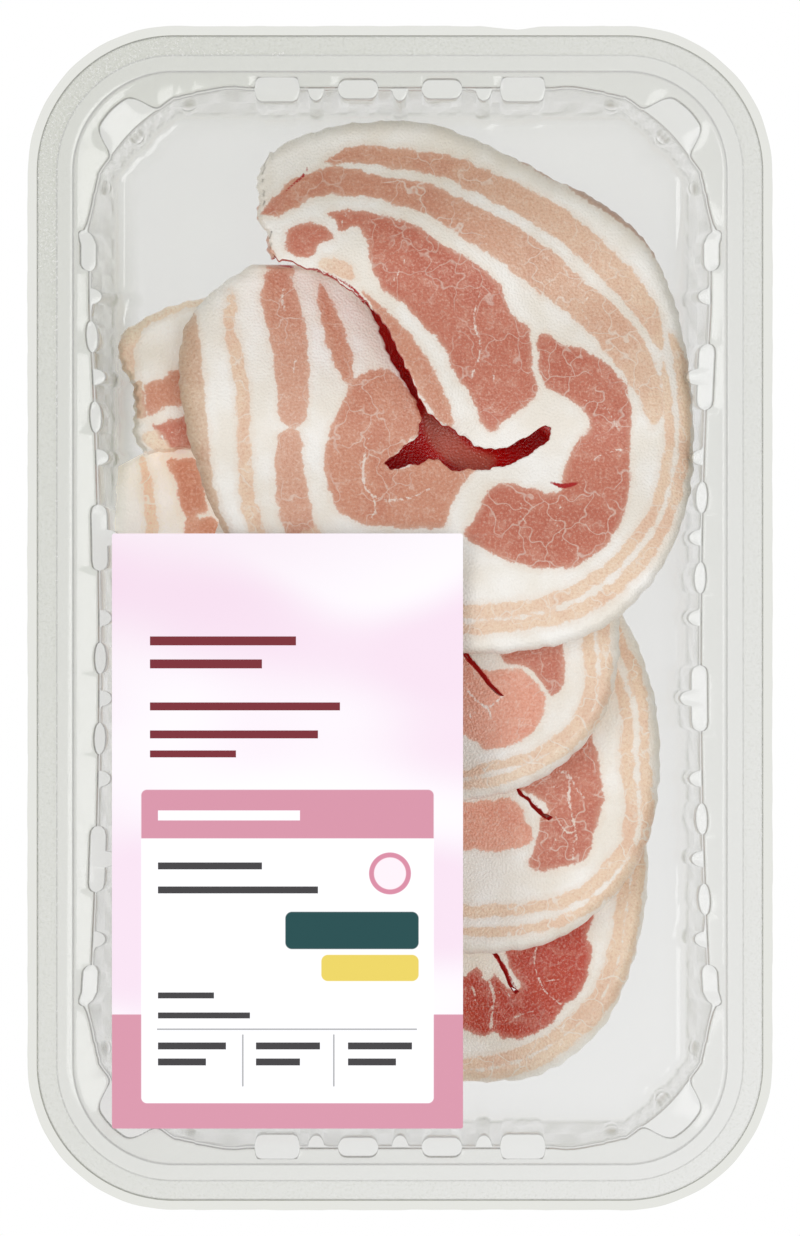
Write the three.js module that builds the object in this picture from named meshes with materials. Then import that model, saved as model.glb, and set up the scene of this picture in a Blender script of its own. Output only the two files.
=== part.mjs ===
import * as THREE from 'three';

// A sealed pack of curled pork belly slices: a clear thermoformed tray, the lidding film welded to
// its flange, a paper label on the film, and four slices laid one on the next down the tray.
// Millimetres, +Z up. X runs across the pack and Y along it, with the first slice towards +Y.
// The origin is on the table under the middle of the tray.

// Tray
const trayWidth = 145.4;
const trayLength = 233.2;
const trayHeight = 39;
const trayCornerRadius = 27.5;
const sheetThickness = 0.7;
const lipDrop = 1.3;
const flangeWidth = 7.3;
const ledgeDrop = 2.4;
const wallFootInset = 14.2;
const footFillet = 3;

// Flutes in the tray wall
const fluteLength = 2.8;
const fluteDepth = 2.3;
const longSideFlutes = 9;
const longSidePitch = 16.1;
const shortSideFlutes = 3;
const shortSidePitch = 16.8;

// Seats in the four corners of the ledge
const seatOuterInset = 10.2;
const seatInnerInset = 16.1;
const seatHalfAngle = 21;

// Film and label
const sealGap = 0.2;
const filmThickness = 0.3;
const filmOverhang = 1.9;
const filmTabLength = 22;
const filmTabSlope = 1.5;
const filmTabDepth = 1;
const labelWidth = 70.2;
const labelLength = 119;
const labelThickness = 0.3;
const labelCentre = new THREE.Vector2(-22.5, -42.6);

// Slices
const sliceThickness = 8.3;
const restGap = 1;
const drapeLength = 31;
const stepsPerStation = 2;

// Each slice is a strip bent round into a ring. Its stations run clockwise from the strip's upper
// end: the point on the fat side, outside the ring, then the point opposite on the inner side.
const slices = [
  {
    name: 'pork_slice_1',
    colour: 0xd8a893,
    tucksUnderItself: true,
    stations: [
      [-29.2, 93.1, -28.2, 71.9], [-20.2, 97.7, -20, 70.7], [-8, 100.4, -9.6, 65.5],
      [6, 100.2, -3.2, 59.1], [20.5, 94.5, 1.2, 49.9], [32, 88.5, 5.6, 41.1],
      [41, 84, 11.6, 36.7], [48, 78, 18.5, 33.6], [53, 70.5, 25, 37.2],
      [57, 58, 29.6, 38.9], [59.2, 40, 30.9, 36.8], [58.2, 24, 29.4, 33],
      [52, 9, 23, 31.1], [41, -2, 16, 30.1], [26, -6.7, 11, 29.9],
      [9, -7.1, 6.8, 32.1], [-8, -4, 2, 30.9], [-22, 3.5, -2, 30.1],
      [-34, 14.5, -2.8, 31], [-40.5, 28.5, -2, 31.8], [-44, 42, 1, 34],
      [-44.8, 52, 4.4, 38], [-43, 60, 4.2, 43], [-38.5, 65.5, -0.6, 51],
      [-34, 69, -5.6, 60.5], [-30, 71.3, -11.5, 71.1],
    ],
  },
  {
    name: 'pork_slice_2',
    colour: 0xd4a08a,
    stations: [
      [-56.4, 55.9, -51, 33.1], [-46, 63.5, -34, 34.5], [-28, 66.3, -20, 33.5],
      [-8, 66.5, -8, 28.5], [10, 59.5, 1, 19.5], [25, 45.5, 8.5, 8],
      [35, 31, 14.5, -2.5], [41, 14, 18.6, -10], [44.4, -4, 20.6, -14],
      [41.5, -19, 20.6, -15.6], [33, -29.5, 19.4, -15.4], [21, -35.5, 15.4, -11.5],
      [6, -37.4, 9.6, -5.6], [-8, -36.5, 3, 1], [-22, -31, -4, 9.5],
      [-33, -21, -10.5, 16.5], [-38.4, -4, -16, 22.5], [-38, 14, -20, 26],
      [-33.6, 28, -23, 28],
    ],
  },
  {
    name: 'pork_slice_3',
    colour: 0xd4a08a,
    stations: [
      [-33, 36.1, -32, 11.5], [-16, 37.9, -20, 8.5], [4, 33.5, -8, 2.5],
      [22, 24.5, 4, -6.5], [36, 12.5, 14, -16.5], [46, -1, 21, -26],
      [51.5, -16, 27, -34.6], [52.4, -34, 30.4, -39], [49, -48, 31, -40.4],
      [40, -59.5, 29.8, -41], [28, -66.3, 26, -38.4], [13, -68, 19.6, -32.4],
      [-2, -67.5, 12.5, -26], [-16, -65, 4, -19.5], [-30, -59.5, -5, -13.5],
      [-43, -50, -14, -7.5], [-53, -34, -23, -2.5], [-57.4, -12, -30, 3],
      [-57.4, 12, -35.6, 13.5], [-54.4, 34.5, -37, 34.5],
    ],
  },
  {
    name: 'pork_slice_4',
    colour: 0xc98d78,
    stations: [
      [-39, -4.5, -35, -24.9], [-24, 3.5, -23, -25.5], [-4, 5.5, -11, -28.5],
      [16, 1.5, 0, -36.5], [32, -8.9, 7.5, -46.9], [44, -24, 13.4, -57.5],
      [50, -44, 18.6, -66], [48.8, -64, 23.2, -74], [41, -83, 24.2, -76],
      [28, -92.6, 22.8, -76.2], [14, -94, 17.6, -70.4], [0, -92.5, 12.4, -64],
      [-12, -88.5, 6.5, -57], [-24, -83, -1, -49], [-36, -74, -10, -41],
      [-44.5, -61, -19, -35], [-48, -42, -28, -31], [-45, -16, -37.4, -28.9],
    ],
  },
];

// The strip's cross-section, once round: share of the width, millimetres past that, share of height.
const stripSection = [
  [0, 0, 0.5], [0, 0.9, 0.14], [0, 2.6, 0], [0.27, 0, 0], [0.5, 0, 0], [0.73, 0, 0],
  [1, -2.4, 0], [1, -0.8, 0.14], [1, 0, 0.5], [1, -0.8, 0.84], [1, -2.2, 1],
  [0.73, 0, 1], [0.5, 0, 1], [0.27, 0, 1], [0, 2.6, 1], [0, 0.9, 0.84],
];

const plastic = { color: 0xdee0da, roughness: 0.12, metalness: 0, transparent: true, opacity: 0.4 };

// Joins rings of equally many points into one closed surface, with each end ring fanned to a centre.
function loft(rings, firstCentre, lastCentre) {
  const count = rings[0].length;
  const points = [...rings.flat(), firstCentre, lastCentre];
  const first = points.length - 2;
  const last = points.length - 1;
  const lastRing = (rings.length - 1) * count;
  const triangles = [];
  for (let i = 0; i < count; i += 1) {
    const next = (i + 1) % count;
    triangles.push(first, i, next);
    triangles.push(last, lastRing + next, lastRing + i);
    for (let ring = 0; ring < lastRing; ring += count) {
      triangles.push(ring + i, ring + count + i, ring + next);
      triangles.push(ring + next, ring + count + i, ring + count + next);
    }
  }
  const geometry = new THREE.BufferGeometry().setFromPoints(points);
  geometry.setIndex(triangles);
  geometry.computeVertexNormals();
  return geometry;
}

function centreOf(ring) {
  const sum = ring.reduce((total, point) => total.add(point), new THREE.Vector3());
  return sum.divideScalar(ring.length);
}

// The tray's rim as stations: a point on its outer edge, the way in from it, how far a flute
// stands out there, how far the corner cuts in, and whether a corner seat is there.
function rimStations() {
  const stations = [];
  const fluteOffsets = [-1, -0.55, 0.55, 1];

  function side(turn, reach, flutes, pitch) {
    const inward = new THREE.Vector2(-1, 0).rotateAround(new THREE.Vector2(), turn);
    for (let flute = 0; flute < flutes; flute += 1) {
      const middle = (flute - (flutes - 1) / 2) * pitch;
      for (const offset of fluteOffsets) {
        const edge = new THREE.Vector2(reach, middle + offset * fluteLength);
        edge.rotateAround(new THREE.Vector2(), turn);
        stations.push({ edge, inward, flute: Math.sqrt(1 - offset * offset), corner: 0, seat: false });
      }
    }
  }

  function corner(turn, x, y) {
    const centre = new THREE.Vector2(x, y);
    const seatStart = 45 - seatHalfAngle;
    const seatEnd = 45 + seatHalfAngle;
    const angles = [0, 9, 17, seatStart - 2, seatStart, 31, 38, 45, 52, 59, seatEnd, seatEnd + 2, 73, 81, 90];
    for (const degrees of angles) {
      const outward = new THREE.Vector2(1, 0);
      outward.rotateAround(new THREE.Vector2(), turn + THREE.MathUtils.degToRad(degrees));
      stations.push({
        edge: outward.clone().multiplyScalar(trayCornerRadius).add(centre),
        inward: outward.clone().negate(),
        flute: 0,
        corner: Math.sin(THREE.MathUtils.degToRad(2 * degrees)) ** 2,
        seat: degrees >= seatStart && degrees <= seatEnd,
      });
    }
  }

  const long = trayLength / 2 - trayCornerRadius;
  const short = trayWidth / 2 - trayCornerRadius;
  side(0, trayWidth / 2, longSideFlutes, longSidePitch);
  corner(0, short, long);
  side(Math.PI / 2, trayLength / 2, shortSideFlutes, shortSidePitch);
  corner(Math.PI / 2, -short, long);
  side(Math.PI, trayWidth / 2, longSideFlutes, longSidePitch);
  corner(Math.PI, -short, -long);
  side(-Math.PI / 2, trayLength / 2, shortSideFlutes, shortSidePitch);
  corner(-Math.PI / 2, short, -long);
  return stations;
}

// The tray's wall at one station, as inset from the rim and height: up the inside from the base,
// over the ledge and the flange, and down the outside again.
function wallProfile({ flute, corner, seat }) {
  const ledge = trayHeight - ledgeDrop;
  const shelf = ledge - 2.2;
  const ledgeInset = seat ? seatOuterInset : 10.3 + 2.8 * corner;
  const shelfInset = seat ? seatInnerInset : ledgeInset + 0.4 + fluteDepth * flute;
  const highInset = seat ? seatInnerInset + 0.3 : ledgeInset + 0.8 + 0.8 * fluteDepth * flute;
  const footInset = wallFootInset + 3.4 * corner + 0.3 * fluteDepth * flute;
  const high = shelf - 4;
  const sheet = sheetThickness;
  return [
    [footInset + footFillet, sheet],
    [footInset + 0.9, sheet + 0.9],
    [footInset, sheet + footFillet],
    [highInset, high],
    [shelfInset, shelf - 0.8],
    [ledgeInset + 0.2, shelf],
    [ledgeInset, ledge],
    [flangeWidth + 0.5, ledge + 0.3],
    [flangeWidth, trayHeight],
    [0, trayHeight],
    [0, trayHeight - lipDrop],
    [sheet, trayHeight - sheet],
    [flangeWidth - sheet, trayHeight - sheet],
    [flangeWidth + 0.5 - sheet, ledge + 0.3 - sheet],
    [ledgeInset - sheet, ledge - sheet],
    [ledgeInset - sheet + 0.2, shelf - sheet],
    [shelfInset - sheet, shelf - 0.8 - sheet],
    [highInset - sheet, high],
    [footInset - sheet, sheet + footFillet],
    [footInset + 0.5, 0.6],
    [footInset + footFillet, 0],
  ];
}

function trayGeometry() {
  const walls = rimStations().map((station) => wallProfile(station).map(([inset, height]) => {
    const { edge, inward } = station;
    return new THREE.Vector3(edge.x + inward.x * inset, edge.y + inward.y * inset, height);
  }));
  const rings = walls[0].map((_, row) => walls.map((wall) => wall[row]));
  return loft(rings, new THREE.Vector3(0, 0, sheetThickness), new THREE.Vector3(0, 0, 0));
}

// The film is cut a little outside the flange, and further out at its far right corner, to peel.
function filmGeometry() {
  const halfWidth = trayWidth / 2 + filmOverhang;
  const halfLength = trayLength / 2 + filmOverhang;
  const radius = trayCornerRadius + filmOverhang;
  const right = halfWidth - radius;
  const far = halfLength - radius;
  const outline = new THREE.Shape();
  outline.moveTo(halfWidth, far);
  outline.absarc(right, far, radius, 0, Math.PI / 2);
  outline.lineTo(right - filmTabLength, halfLength);
  outline.lineTo(right - filmTabLength - filmTabSlope, halfLength - filmTabDepth);
  outline.absarc(-right, far - filmTabDepth, radius, Math.PI / 2, Math.PI);
  outline.absarc(-right, -far, radius, Math.PI, 1.5 * Math.PI);
  outline.absarc(right, -far, radius, 1.5 * Math.PI, 2 * Math.PI);
  const film = new THREE.ExtrudeGeometry(outline, {
    depth: filmThickness, bevelEnabled: false, curveSegments: 14,
  });
  return film.translate(0, 0, trayHeight + sealGap);
}

function labelGeometry() {
  const label = new THREE.BoxGeometry(labelWidth, labelLength, labelThickness);
  const base = trayHeight + sealGap + filmThickness + sealGap;
  return label.translate(labelCentre.x, labelCentre.y, base + labelThickness / 2);
}

function farEnd(slice) {
  return Math.max(...slice.stations.map(([, outerY]) => outerY));
}

// One up to a support's edge, and easing to nothing as the meat bends down past it.
function heldUp(y, supportEnd) {
  const bend = supportEnd + restGap;
  return 1 - THREE.MathUtils.smoothstep(y, bend, bend + drapeLength);
}

// The height of a slice's underside: each slice below it lifts it by a thickness.
function restHeight(index, y) {
  const layer = sliceThickness + restGap;
  const below = slices.slice(index + 1);
  return sheetThickness + 0.3 + below.reduce((sum, slice) => sum + layer * heldUp(y, farEnd(slice)), 0);
}

function sliceGeometry(slice, index) {
  const { stations, tucksUnderItself } = slice;
  const outer = new THREE.CatmullRomCurve3(stations.map(([x, y]) => new THREE.Vector3(x, y, 0)));
  const inner = new THREE.CatmullRomCurve3(stations.map(([, , x, y]) => new THREE.Vector3(x, y, 0)));
  const tuckedEnd = stations.at(-1)[1];
  const steps = (stations.length - 1) * stepsPerStation;
  const rings = [];
  for (let step = 0; step <= steps; step += 1) {
    const fatSide = outer.getPoint(step / steps);
    const leanSide = inner.getPoint(step / steps);
    const width = fatSide.distanceTo(leanSide);
    const rise = 1 - THREE.MathUtils.smoothstep(step / stepsPerStation, 3, 7);
    rings.push(stripSection.map(([share, past, height]) => {
      const point = fatSide.clone().lerp(leanSide, share + past / width);
      const overTuck = tucksUnderItself ? rise * heldUp(point.y, tuckedEnd) : 0;
      const underside = restHeight(index, point.y) + overTuck * (sliceThickness + restGap);
      return point.setZ(underside + height * sliceThickness);
    }));
  }
  return loft(rings, centreOf(rings[0]), centreOf(rings.at(-1)));
}

function named(name, geometry, look) {
  const mesh = new THREE.Mesh(geometry, new THREE.MeshStandardMaterial(look));
  mesh.name = name;
  return mesh;
}

const group = new THREE.Group();
group.add(named('tray', trayGeometry(), plastic));
group.add(named('lid_film', filmGeometry(), { ...plastic, opacity: 0.15 }));
group.add(named('label', labelGeometry(), { color: 0xf3e4ee, roughness: 0.55, metalness: 0 }));
slices.forEach((slice, index) => {
  const look = { color: slice.colour, roughness: 0.4, metalness: 0 };
  group.add(named(slice.name, sliceGeometry(slice, index), look));
});

export default group;
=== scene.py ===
import math

import bmesh
import bpy
import numpy as np
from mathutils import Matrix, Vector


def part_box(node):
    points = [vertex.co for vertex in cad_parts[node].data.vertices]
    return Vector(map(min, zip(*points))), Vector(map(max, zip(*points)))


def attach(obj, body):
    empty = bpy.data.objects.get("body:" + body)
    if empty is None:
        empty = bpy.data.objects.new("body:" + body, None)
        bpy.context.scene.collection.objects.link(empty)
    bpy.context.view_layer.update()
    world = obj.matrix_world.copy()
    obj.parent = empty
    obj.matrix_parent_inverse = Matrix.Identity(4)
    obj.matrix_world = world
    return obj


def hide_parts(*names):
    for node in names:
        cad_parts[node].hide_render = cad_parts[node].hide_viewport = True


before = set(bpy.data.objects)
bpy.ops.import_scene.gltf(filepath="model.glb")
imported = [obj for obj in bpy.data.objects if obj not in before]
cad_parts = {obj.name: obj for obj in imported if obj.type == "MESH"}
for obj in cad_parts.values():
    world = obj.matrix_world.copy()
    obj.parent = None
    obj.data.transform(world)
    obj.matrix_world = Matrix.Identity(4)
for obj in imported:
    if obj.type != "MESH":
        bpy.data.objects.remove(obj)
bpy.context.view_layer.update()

metresPerMm = 0.001
manySided = 8  # a face with as many corners or more is a filled end
scene = bpy.context.scene
scene.view_settings.view_transform = "Standard"
scene.view_settings.look = "None"

# The slices' tissue and the label's print are placed on a drawing of the pack seen from above.
drawing = {"mmPerUnit": 0.2, "middle": (400.0, 617.6), "height": 1236}


def toDrawing(spots):
    x = spots[:, 0] / drawing["mmPerUnit"] + drawing["middle"][0]
    y = drawing["middle"][1] - spots[:, 1] / drawing["mmPerUnit"]
    return np.stack([x, y], axis=1)


def fromDrawing(x, y):
    return ((x - drawing["middle"][0]) * drawing["mmPerUnit"],
            (drawing["middle"][1] - y) * drawing["mmPerUnit"])


def tint(red, green, blue):
    # a colour as a paint chart gives it, 0 to 255, made linear
    shares = [channel / 255 for channel in (red, green, blue)]
    return tuple(s / 12.92 if s <= 0.04045 else ((s + 0.055) / 1.055) ** 2.4 for s in shares)


class Wire:
    # a socket that carries a number: sums, products and powers of it add their Math nodes
    def __init__(self, finish, socket):
        self.finish = finish
        self.socket = socket

    def math(self, operation, first, second=None):
        values = {0: first} if second is None else {0: first, 1: second}
        return self.finish.node("ShaderNodeMath", {"operation": operation}, values)

    def __add__(self, other):
        return self.math("ADD", self, other)

    def __radd__(self, other):
        return self.math("ADD", other, self)

    def __sub__(self, other):
        return self.math("SUBTRACT", self, other)

    def __rsub__(self, other):
        return self.math("SUBTRACT", other, self)

    def __mul__(self, other):
        return self.math("MULTIPLY", self, other)

    def __rmul__(self, other):
        return self.math("MULTIPLY", other, self)

    def __truediv__(self, other):
        return self.math("DIVIDE", self, other)

    def __pow__(self, other):
        return self.math("POWER", self, other)

    def __abs__(self):
        return self.math("ABSOLUTE", self)

    def atLeast(self, other):
        return self.math("MAXIMUM", self, other)

    def atMost(self, other):
        return self.math("MINIMUM", self, other)


class Finish:
    # one material and the nodes that make it
    def __init__(self, name):
        self.material = bpy.data.materials.new(name)
        self.material.use_nodes = True
        self.tree = self.material.node_tree
        self.tree.nodes.clear()

    def node(self, kind, settings, values, output=0):
        made = self.tree.nodes.new(kind)
        for key, setting in settings.items():
            setattr(made, key, setting)
        for key, value in values.items():
            socket = made.inputs[key]
            if isinstance(value, Wire):
                self.tree.links.new(value.socket, socket)
            elif socket.type == "RGBA" and len(value) == 3:
                socket.default_value = (*value, 1)
            else:
                socket.default_value = value
        return Wire(self, made.outputs[output])

    def places(self):
        # Object coordinates in millimetres
        spots = self.node("ShaderNodeTexCoord", {}, {}, "Object")
        return self.node("ShaderNodeVectorMath", {"operation": "SCALE"}, {0: spots, "Scale": 1 / metresPerMm})

    def stretched(self, spots, factors):
        return self.node("ShaderNodeVectorMath", {"operation": "MULTIPLY"}, {0: spots, 1: factors})

    def parts(self, spots):
        return [self.node("ShaderNodeSeparateXYZ", {}, {0: spots}, axis) for axis in ("X", "Y")]

    def noise(self, spots, perMm, detail=2.0, roughness=0.5, distortion=0.0):
        values = {"Vector": spots, "Scale": perMm, "Detail": detail,
                  "Roughness": roughness, "Distortion": distortion}
        return self.node("ShaderNodeTexNoise", {"noise_dimensions": "2D"}, values, 0)

    def cells(self, spots, perMm, feature="DISTANCE_TO_EDGE"):
        values = {"Vector": spots, "Scale": perMm}
        settings = {"feature": feature, "voronoi_dimensions": "2D"}
        return self.node("ShaderNodeTexVoronoi", settings, values, "Distance")

    def shifted(self, spots, perMm, amount):
        # the same places pushed about by a soft noise
        push = self.node("ShaderNodeTexNoise", {"noise_dimensions": "2D"},
                         {"Vector": spots, "Scale": perMm, "Detail": 0.0}, "Color")
        push = self.node("ShaderNodeVectorMath", {"operation": "SUBTRACT"}, {0: push, 1: (0.5, 0.5, 0.5)})
        push = self.node("ShaderNodeVectorMath", {"operation": "SCALE"}, {0: push, "Scale": amount})
        return self.node("ShaderNodeVectorMath", {"operation": "ADD"}, {0: spots, 1: push})

    def rise(self, value, low, high):
        # 0 below low and 1 above high, smooth between
        values = {"Value": value, "From Min": low, "From Max": high}
        return self.node("ShaderNodeMapRange", {"interpolation_type": "SMOOTHSTEP"}, values, 0)

    def mix(self, share, first, second, blend="MIX"):
        return self.node("ShaderNodeMix", {"data_type": "RGBA", "blend_type": blend},
                         {0: share, 6: first, 7: second}, 2)

    def attribute(self, name, output="Fac"):
        return self.node("ShaderNodeAttribute", {"attribute_name": name}, {}, output)

    def bump(self, height, distance, strength=1.0):
        return self.node("ShaderNodeBump", {}, {"Height": height, "Distance": distance, "Strength": strength})

    def surface(self, values):
        shader = self.node("ShaderNodeBsdfPrincipled", {}, values)
        end = self.tree.nodes.new("ShaderNodeOutputMaterial")
        self.tree.links.new(shader.socket, end.inputs["Surface"])
        return self.material


def smoothLine(points, stepsEach):
    # a line through the points, rounded as a centripetal Catmull-Rom curve
    points = np.asarray(points, float)
    before = 2 * points[0] - points[1]
    after = 2 * points[-1] - points[-2]
    row = np.vstack([before, points, after])
    made = []
    for index in range(1, len(row) - 2):
        a, b, c, d = row[index - 1:index + 3]
        gaps = [max(np.linalg.norm(second - first), 1e-8) ** 0.5 for first, second in ((a, b), (b, c), (c, d))]
        startPull = ((b - a) / gaps[0] - (c - a) / (gaps[0] + gaps[1]) + (c - b) / gaps[1]) * gaps[1]
        endPull = ((c - b) / gaps[1] - (d - b) / (gaps[1] + gaps[2]) + (d - c) / gaps[2]) * gaps[1]
        share = (np.arange(stepsEach) / stepsEach)[:, None]
        made.append(b + startPull * share + (3 * (c - b) - 2 * startPull - endPull) * share ** 2
                    + (2 * (b - c) + startPull + endPull) * share ** 3)
    made.append(points[-1:])
    return np.vstack(made)


def sheetOfRings(rings, marks=None):
    # a closed tube whose rows are the rings, from a grid whose last column is merged with its first
    rings = np.asarray(rings, float)
    rowCount, columnCount = rings.shape[:2]
    closed = np.concatenate([rings, rings[:, :1]], axis=1)
    bm = bmesh.new()
    bmesh.ops.create_grid(bm, x_segments=columnCount, y_segments=rowCount - 1, size=1)
    assert len(bm.verts) == rowCount * (columnCount + 1)
    for name, values in (marks or {}).items():
        values = np.concatenate([values, values[:, :1]], axis=1)
        if values.ndim == 2:
            layer = bm.verts.layers.float.new(name)
            for vertex, value in zip(bm.verts, values.ravel()):
                vertex[layer] = float(value)
        else:
            layer = bm.verts.layers.float_color.new(name)
            for vertex, value in zip(bm.verts, values.reshape(-1, 4)):
                vertex[layer] = value
    for vertex, spot in zip(bm.verts, closed.reshape(-1, 3)):
        vertex.co = spot
    bmesh.ops.remove_doubles(bm, verts=bm.verts, dist=1e-4)
    return bm


def fillEnds(bm):
    bmesh.ops.holes_fill(bm, edges=[edge for edge in bm.edges if edge.is_boundary], sides=0)


def tubeWithParts(rings, partOf, marks=None):
    # the tube with its ends filled and each face's material picked from its row and its number of corners
    rows = np.tile(np.arange(len(rings))[:, None], (1, len(rings[0])))
    bm = sheetOfRings(rings, {**(marks or {}), "row": rows})
    fillEnds(bm)
    rowOf = bm.verts.layers.float["row"]
    for face in bm.faces:
        row = sum(vertex[rowOf] for vertex in face.verts) / len(face.verts)
        face.material_index = partOf(row, len(face.verts))
    bm.verts.layers.float.remove(rowOf)
    return bm


def addObject(name, data):
    made = bpy.data.objects.new(name, data)
    scene.collection.objects.link(made)
    return made


def finishPiece(bm, name, node, materials, smooth=True):
    bmesh.ops.recalc_face_normals(bm, faces=bm.faces)
    bmesh.ops.scale(bm, vec=(metresPerMm,) * 3, verts=bm.verts)
    for face in bm.faces:
        face.smooth = smooth and len(face.verts) < manySided
    mesh = bpy.data.meshes.new(name)
    bm.to_mesh(mesh)
    bm.free()
    for material in materials:
        mesh.materials.append(material)
    piece = addObject(name, mesh)
    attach(piece, "root")
    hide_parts(node)
    print(name, "made,", len(mesh.polygons), "faces")
    return piece


def meshSpots(piece):
    spots = np.empty(len(piece.data.vertices) * 3, np.float32)
    piece.data.vertices.foreach_get("co", spots)
    return spots.reshape(-1, 3).astype(float) / metresPerMm


def store(piece, name, values):
    values = np.asarray(values, np.float32)
    if values.ndim == 1:
        layer = piece.data.attributes.new(name, "FLOAT", "POINT")
        layer.data.foreach_set("value", values)
    else:
        layer = piece.data.attributes.new(name, "FLOAT_COLOR", "POINT")
        layer.data.foreach_set("color", np.hstack([values, np.ones((len(values), 1))]).ravel())


studio = {
    "cameraDistance": 3.0,
    "cameraReach": 50,
    "filmHeight": 0.0395,
    "floorSize": 6.0,
    "floorDrop": 0.0002,
    "floorGlow": 1.0,
    "skyColour": (0.97, 0.98, 1, 1),
    "skyStrength": 0.7,
    "lamps": {"key": {"place": (0.52, -0.3, 1.3), "size": 0.75, "power": 5.0},
              "fill": {"place": (-0.72, 0.12, 1.15), "size": 0.62, "power": 3.9}},
}


def makeCamera():
    data = bpy.data.cameras.new("camera")
    frameHeight = drawing["height"] * drawing["mmPerUnit"] * metresPerMm
    data.lens = data.sensor_width * studio["cameraDistance"] / frameHeight
    data.clip_end = studio["cameraReach"]
    scene.camera = addObject("camera", data)
    scene.camera.location = (0, 0, studio["filmHeight"] + studio["cameraDistance"])


def makeLight(name, lamp):
    data = bpy.data.lights.new(name, "AREA")
    data.shape = "RECTANGLE"
    data.size = data.size_y = lamp["size"]
    data.energy = lamp["power"]
    light = addObject(name, data)
    light.location = lamp["place"]
    light.rotation_euler = (-light.location).to_track_quat("-Z", "Y").to_euler()


def makeStudio():
    finish = Finish("studio_floor")
    material = finish.surface({"Base Color": (0, 0, 0), "Roughness": 0.9, "Specular IOR Level": 0.0,
                               "Emission Color": (1, 1, 1), "Emission Strength": studio["floorGlow"]})
    # rays that reach the floor find its light, so that no time goes into aiming at it
    material.cycles.emission_sampling = "NONE"
    bm = bmesh.new()
    bmesh.ops.create_grid(bm, x_segments=1, y_segments=1, size=studio["floorSize"] / 2)
    bmesh.ops.translate(bm, vec=(0, 0, -studio["floorDrop"]), verts=bm.verts)
    mesh = bpy.data.meshes.new("studio_floor")
    bm.to_mesh(mesh)
    bm.free()
    mesh.materials.append(material)
    addObject("studio_floor", mesh)
    world = bpy.data.worlds.new("studio")
    world.use_nodes = True
    background = world.node_tree.nodes["Background"]
    background.inputs["Color"].default_value = studio["skyColour"]
    background.inputs["Strength"].default_value = studio["skyStrength"]
    scene.world = world
    for name, lamp in studio["lamps"].items():
        makeLight(name, lamp)


makeCamera()
makeStudio()
print("camera and studio ready")


trayLow, trayHigh = [np.array(corner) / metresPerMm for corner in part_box("tray")]

tray = {
    "width": trayHigh[0] - trayLow[0],
    "length": trayHigh[1] - trayLow[1],
    "height": trayHigh[2],
    "cornerRadius": 27.5,
    "sheet": 0.5,
    "lipDrop": 1.3,
    "flangeWidth": 7.3,
    "ledgeDrop": 2.4,
    "shelfDrop": 2.2,
    "ledgeInset": 10.3,
    "footInset": 14.2,
    "footFillet": 3.0,
    "longSideBow": 2.0,
    "bowMiddle": -8.0,
    "bowReach": 70.0,
    "fluteHalfLength": 1.6,
    "fluteDepth": 2.3,
    "domeHalfLength": 1.5,
    "longPitch": 16.1,
    "shortPitch": 16.8,
    "sealBand": (0.4, 3.8),
    "weldRows": (3.4, 8.6),
    "columnGap": 0.09,
    "cornerSteps": np.arange(0.6, 90, 0.9),
    "shelfGap": 0.45,
    "seatHalfTurn": 30,
    "seatDepth": 12.0,
    "seatBow": 0.65,
    "slotPlaces": {"left": (1, -3), "right": (3, -1)},
    "farSlots": (73.6, -73.6),
    "endPockets": (-24.6, 24.6),
    "domePlaces": {"left": 86.5, "right": 86.5, "far": 42.5, "near": 42.5},
    "easeSoftening": 4,
}

# how far the ledge's edge moves in near a corner (mm from the corner, mm in), and where it lies in the
# corner itself (degrees from its middle, mm in)
cornerEase = ((0, 5, 8, 10.5, 12, 13.5), (1.9, 0.9, 0.5, -0.8, -1.2, 0))
cornerSeat = ((0, 12, 14, 17, 21, 25, 28, 31, 34, 39, 45),
              (9.5, 9.6, 9.8, 10.5, 11.9, 13.2, 13.8, 14.0, 13.8, 13.1, 12.2))

# A pocket in the ledge's edge: half its length, where its outer and inner edges lie, and the round of its ends.
lensPocket = {"half": 3.1, "out": 9.4, "in": 11.9, "end": 3.1}
longSlot = {"half": 6.6, "out": 9.0, "in": 12.4, "end": 1.7}
shortSlot = {"half": 4.1, "out": 8.6, "in": 11.9, "end": 1.7}
sixSided = {"half": 4.0, "out": 8.6, "in": 12.6, "end": 1.6}
trapezoid = {"half": 4.5, "out": 8.0, "in": 13.2, "end": 1.2}


def sidePockets():
    pitch, shortPitch = tray["longPitch"], tray["shortPitch"]
    found = []
    for side, slots in tray["slotPlaces"].items():
        found += [(side, place * pitch, longSlot) for place in slots]
        found += [(side, place, shortSlot) for place in tray["farSlots"]]
        for gap in range(-4, 4):
            if gap not in slots and gap + 1 not in slots:
                found.append((side, (gap + 0.5) * pitch, lensPocket))
    for side in ("far", "near"):
        found += [(side, place * shortPitch, sixSided) for place in (-0.5, 0.5)]
        found += [(side, place, trapezoid) for place in tray["endPockets"]]
    return found


def sideFlutes():
    found = [(side, place * tray["longPitch"]) for side in ("left", "right") for place in range(-4, 5)]
    return found + [(side, place * tray["shortPitch"]) for side in ("far", "near") for place in (-1, 0, 1)]


def lowDomes():
    # small domes lower on the wall, beside the corners
    return [(side, sign * place) for side, place in tray["domePlaces"].items() for sign in (-1, 1)]


def roundedShare(offset, half, end):
    # 1 along a pocket's middle and a quarter ellipse down to 0 at its ends
    past = np.clip((np.abs(offset) - (half - end)) / end, 0, 1)
    return np.where(np.abs(offset) < half, np.sqrt(1 - past ** 2), 0)


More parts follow.
